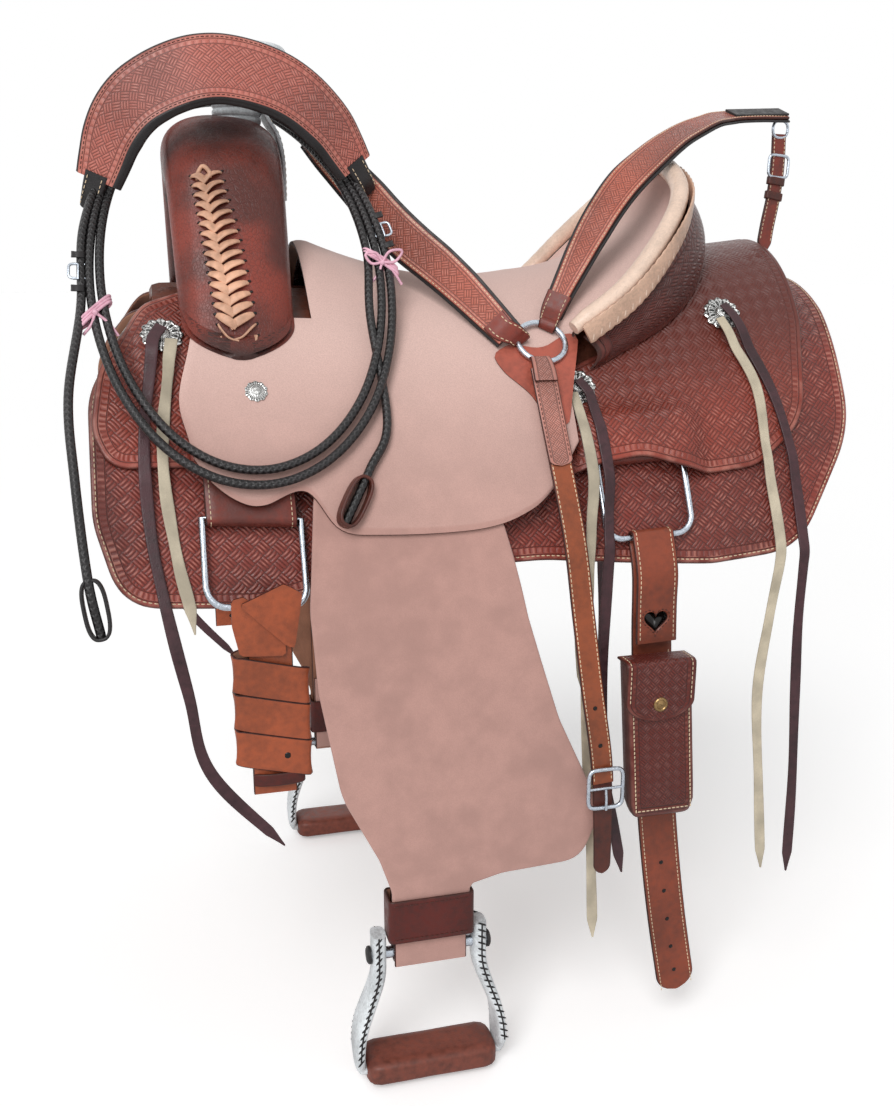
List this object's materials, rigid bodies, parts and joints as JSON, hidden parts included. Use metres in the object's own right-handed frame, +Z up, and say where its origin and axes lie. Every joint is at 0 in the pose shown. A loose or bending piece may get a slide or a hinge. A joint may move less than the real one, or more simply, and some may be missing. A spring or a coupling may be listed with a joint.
{
  "type": "wade saddle",
  "caption": "Western wade saddle with post horn, roughout seat, stamped skirts, rigging dees, hung stirrups, and a bridle and breast collar hung on it.",
  "frame": {"origin": "on the centreline, at the top of the horse's back under the seat", "axes": "+X towards the cantle and the horse's tail, -X towards the horn, +Y to the off (right) side, -Y to the near (left) side, +Z up"},
  "size_m": [0.8218, 0.6083, 1.039],
  "materials": {
    "saddle_tree": "rawhide-covered wood",
    "fork_cover": "smooth glossy red-brown",
    "horn_wrap": "pale blue-grey hide",
    "ground_seat": "satin stainless steel",
    "seat_leather": "undyed flesh-side-out suede",
    "cantle_back": "smooth glossy red-brown",
    "cantle_binding": "pale rawhide",
    "skirt_left": "basket-stamped, oiled red-brown",
    "skirt_right": "basket-stamped, oiled red-brown",
    "fleece_left": "woolskin pile",
    "fleece_right": "woolskin pile",
    "rear_jockey_left": "basket-stamped, oiled red-brown",
    "rear_jockey_right": "basket-stamped, oiled red-brown",
    "front_jockey_left": "basket-stamped, oiled red-brown",
    "front_jockey_right": "basket-stamped, oiled red-brown",
    "front_rigging_left": "basket-stamped, oiled red-brown",
    "front_rigging_right": "basket-stamped, oiled red-brown",
    "rear_rigging_left": "basket-stamped, oiled red-brown",
    "rear_rigging_right": "basket-stamped, oiled red-brown",
    "concho_front_left": "engraved silver plate",
    "concho_front_right": "engraved silver plate",
    "concho_mid_left": "engraved silver plate",
    "concho_mid_right": "engraved silver plate",
    "concho_rear_left": "engraved silver plate",
    "concho_rear_right": "engraved silver plate",
    "fender_left": "undyed flesh-side-out suede",
    "stirrup_leather_left": "undyed flesh-side-out suede",
    "hobble_strap_left": "dark brown thong leather",
    "stirrup_left": "pale blue-grey hide",
    "stirrup_tread_left": "smooth dark brown",
    "front_dee_left": "satin stainless steel",
    "rear_dee_left": "satin stainless steel",
    "fender_right": "undyed flesh-side-out suede",
    "stirrup_leather_right": "undyed flesh-side-out suede",
    "hobble_strap_right": "dark brown thong leather",
    "stirrup_right": "pale blue-grey hide",
    "stirrup_tread_right": "smooth dark brown",
    "front_dee_right": "satin stainless steel",
    "rear_dee_right": "satin stainless steel",
    "latigo_left": "smooth orange-tan harness leather",
    "latigo_wraps_left": "smooth orange-tan harness leather",
    "off_billet_right": "smooth orange-tan harness leather",
    "flank_billet_left": "smooth orange-tan harness leather",
    "billet_pouch": "basket-stamped, oiled red-brown",
    "flank_billet_right": "smooth orange-tan harness leather",
    "pouch_flap": "basket-stamped, oiled red-brown",
    "string_front_left": "dark brown thong leather",
    "string_front_right": "dark brown thong leather",
    "string_mid_left": "dark brown thong leather",
    "string_mid_right": "dark brown thong leather",
    "string_rear_left": "dark brown thong leather",
    "string_rear_right": "dark brown thong leather",
    "collar_front_strap": "basket-stamped, oiled red-brown",
    "collar_rear_strap": "basket-stamped, oiled red-brown",
    "collar_ring": "satin stainless steel",
    "collar_tug": "smooth orange-tan harness leather",
    "bridle_band": "basket-stamped, oiled red-brown",
    "bridle_reins": "black rein leather",
    "chest_strap": "smooth orange-tan harness leather",
    "chest_buckle": "satin stainless steel"
  },
  "bodies": {
    "saddle": {"saddle_tree": "saddle_tree", "fork_cover": "fork_cover", "horn_wrap": "horn_wrap", "ground_seat": "ground_seat", "seat_leather": "seat_leather", "cantle_back": "cantle_back", "cantle_binding": "cantle_binding", "skirt_left": "skirt_left", "skirt_right": "skirt_right", "fleece_left": "fleece_left", "fleece_right": "fleece_right", "rear_jockey_left": "rear_jockey_left", "rear_jockey_right": "rear_jockey_right", "front_jockey_left": "front_jockey_left", "front_jockey_right": "front_jockey_right", "front_rigging_left": "front_rigging_left", "front_rigging_right": "front_rigging_right", "rear_rigging_left": "rear_rigging_left", "rear_rigging_right": "rear_rigging_right", "concho_front_left": "concho_front_left", "concho_front_right": "concho_front_right", "concho_mid_left": "concho_mid_left", "concho_mid_right": "concho_mid_right", "concho_rear_left": "concho_rear_left", "concho_rear_right": "concho_rear_right"},
    "fender_body_left": {"fender_left": "fender_left", "stirrup_leather_left": "stirrup_leather_left", "hobble_strap_left": "hobble_strap_left"},
    "stirrup_body_left": {"stirrup_left": "stirrup_left", "stirrup_tread_left": "stirrup_tread_left"},
    "front_dee_body_left": {"front_dee_left": "front_dee_left"},
    "rear_dee_body_left": {"rear_dee_left": "rear_dee_left"},
    "fender_body_right": {"fender_right": "fender_right", "stirrup_leather_right": "stirrup_leather_right", "hobble_strap_right": "hobble_strap_right"},
    "stirrup_body_right": {"stirrup_right": "stirrup_right", "stirrup_tread_right": "stirrup_tread_right"},
    "front_dee_body_right": {"front_dee_right": "front_dee_right"},
    "rear_dee_body_right": {"rear_dee_right": "rear_dee_right"},
    "latigo_body": {"latigo_left": "latigo_left", "latigo_wraps_left": "latigo_wraps_left"},
    "off_billet_body": {"off_billet_right": "off_billet_right"},
    "flank_billet_body_left": {"flank_billet_left": "flank_billet_left", "billet_pouch": "billet_pouch"},
    "flank_billet_body_right": {"flank_billet_right": "flank_billet_right"},
    "pouch_flap_body": {"pouch_flap": "pouch_flap"},
    "string_body_front_left": {"string_front_left": "string_front_left"},
    "string_body_front_right": {"string_front_right": "string_front_right"},
    "string_body_mid_left": {"string_mid_left": "string_mid_left"},
    "string_body_mid_right": {"string_mid_right": "string_mid_right"},
    "string_body_rear_left": {"string_rear_left": "string_rear_left"},
    "string_body_rear_right": {"string_rear_right": "string_rear_right"},
    "breast_collar_body": {"collar_front_strap": "collar_front_strap", "collar_rear_strap": "collar_rear_strap", "collar_ring": "collar_ring", "collar_tug": "collar_tug"},
    "bridle_body": {"bridle_band": "bridle_band", "bridle_reins": "bridle_reins"},
    "chest_strap_body": {"chest_strap": "chest_strap", "chest_buckle": "chest_buckle"}
  },
  "joints": [
    {"name": "fender_swing_left", "type": "hinge", "parent": "saddle", "child": "fender_body_left", "pos_m": [-0.064, -0.1478, 0.03433], "axis": [0, -0.8987, 0.4386], "range_deg": [-1.5, 2]},
    {"name": "stirrup_swing_left", "type": "hinge", "parent": "fender_body_left", "child": "stirrup_body_left", "pos_m": [-0.064, -0.27068, -0.573], "axis": [-1, 0, 0], "range_deg": [-35, 35]},
    {"name": "front_dee_lift_left", "type": "hinge", "parent": "saddle", "child": "front_dee_body_left", "pos_m": [-0.223, -0.2379, -0.11757], "axis": [-1, 0, 0], "range_deg": [0, 1.5]},
    {"name": "rear_dee_lift_left", "type": "hinge", "parent": "saddle", "child": "rear_dee_body_left", "pos_m": [0.168, -0.22555, -0.07794], "axis": [-1, 0, 0], "range_deg": [0, 1]},
    {"name": "flank_billet_lift_left", "type": "hinge", "parent": "rear_dee_body_left", "child": "flank_billet_body_left", "pos_m": [0.168, -0.26141, -0.15321], "axis": [-1, 0, 0], "range_deg": [0, 50]},
    {"name": "string_lift_front_left", "type": "hinge", "parent": "saddle", "child": "string_body_front_left", "pos_m": [-0.292, -0.14958, 0.04373], "axis": [-1, 0, 0], "range_deg": [0, 6]},
    {"name": "string_lift_mid_left", "type": "hinge", "parent": "saddle", "child": "string_body_mid_left", "pos_m": [0.1155, -0.17936, -0.01395], "axis": [-1, 0, 0], "range_deg": [0, 1]},
    {"name": "string_lift_rear_left", "type": "hinge", "parent": "saddle", "child": "string_body_rear_left", "pos_m": [0.294, -0.14018, 0.05457], "axis": [-1, 0, 0], "range_deg": [0, 6]},
    {"name": "fender_swing_right", "type": "hinge", "parent": "saddle", "child": "fender_body_right", "pos_m": [-0.064, 0.1478, 0.03433], "axis": [0, 0.8987, 0.4386], "range_deg": [-2, 1.5]},
    {"name": "stirrup_swing_right", "type": "hinge", "parent": "fender_body_right", "child": "stirrup_body_right", "pos_m": [-0.064, 0.27068, -0.573], "axis": [1, 0, 0], "range_deg": [-35, 35]},
    {"name": "front_dee_lift_right", "type": "hinge", "parent": "saddle", "child": "front_dee_body_right", "pos_m": [-0.223, 0.2379, -0.11757], "axis": [1, 0, 0], "range_deg": [0, 1.5]},
    {"name": "rear_dee_lift_right", "type": "hinge", "parent": "saddle", "child": "rear_dee_body_right", "pos_m": [0.168, 0.22555, -0.07794], "axis": [1, 0, 0], "range_deg": [0, 1]},
    {"name": "flank_billet_lift_right", "type": "hinge", "parent": "rear_dee_body_right", "child": "flank_billet_body_right", "pos_m": [0.168, 0.26141, -0.15321], "axis": [1, 0, 0], "range_deg": [0, 50]},
    {"name": "string_lift_front_right", "type": "hinge", "parent": "saddle", "child": "string_body_front_right", "pos_m": [-0.292, 0.14958, 0.04373], "axis": [1, 0, 0], "range_deg": [0, 6]},
    {"name": "string_lift_mid_right", "type": "hinge", "parent": "saddle", "child": "string_body_mid_right", "pos_m": [0.1155, 0.17936, -0.01395], "axis": [1, 0, 0], "range_deg": [0, 1]},
    {"name": "string_lift_rear_right", "type": "hinge", "parent": "saddle", "child": "string_body_rear_right", "pos_m": [0.294, 0.14018, 0.05457], "axis": [1, 0, 0], "range_deg": [0, 6]},
    {"name": "latigo_lift", "type": "hinge", "parent": "front_dee_body_left", "child": "latigo_body", "pos_m": [-0.214, -0.26939, -0.19455], "axis": [-1, 0, 0], "range_deg": [0, 9]},
    {"name": "off_billet_lift", "type": "hinge", "parent": "front_dee_body_right", "child": "off_billet_body", "pos_m": [-0.214, 0.26939, -0.19455], "axis": [1, 0, 0], "range_deg": [0, 22]},
    {"name": "pouch_flap_lift", "type": "hinge", "parent": "flank_billet_body_left", "child": "pouch_flap_body", "pos_m": [0.164, -0.28456, -0.2698], "axis": [-1, 0, 0], "range_deg": [0, 75]},
    {"name": "breast_collar_lift", "type": "hinge", "parent": "saddle", "child": "breast_collar_body", "pos_m": [0, 0.02, 0.25], "axis": [-1, 0, 0], "range_deg": [0, 20]},
    {"name": "bridle_lift", "type": "hinge", "parent": "breast_collar_body", "child": "bridle_body", "pos_m": [-0.2, 0.034, 0.275], "axis": [-1, 0, 0], "range_deg": [0, 20]},
    {"name": "chest_strap_lift", "type": "hinge", "parent": "breast_collar_body", "child": "chest_strap_body", "pos_m": [0.08, -0.17111, 0.0325], "axis": [-1, 0, 0], "range_deg": [0, 40]}
  ]
}
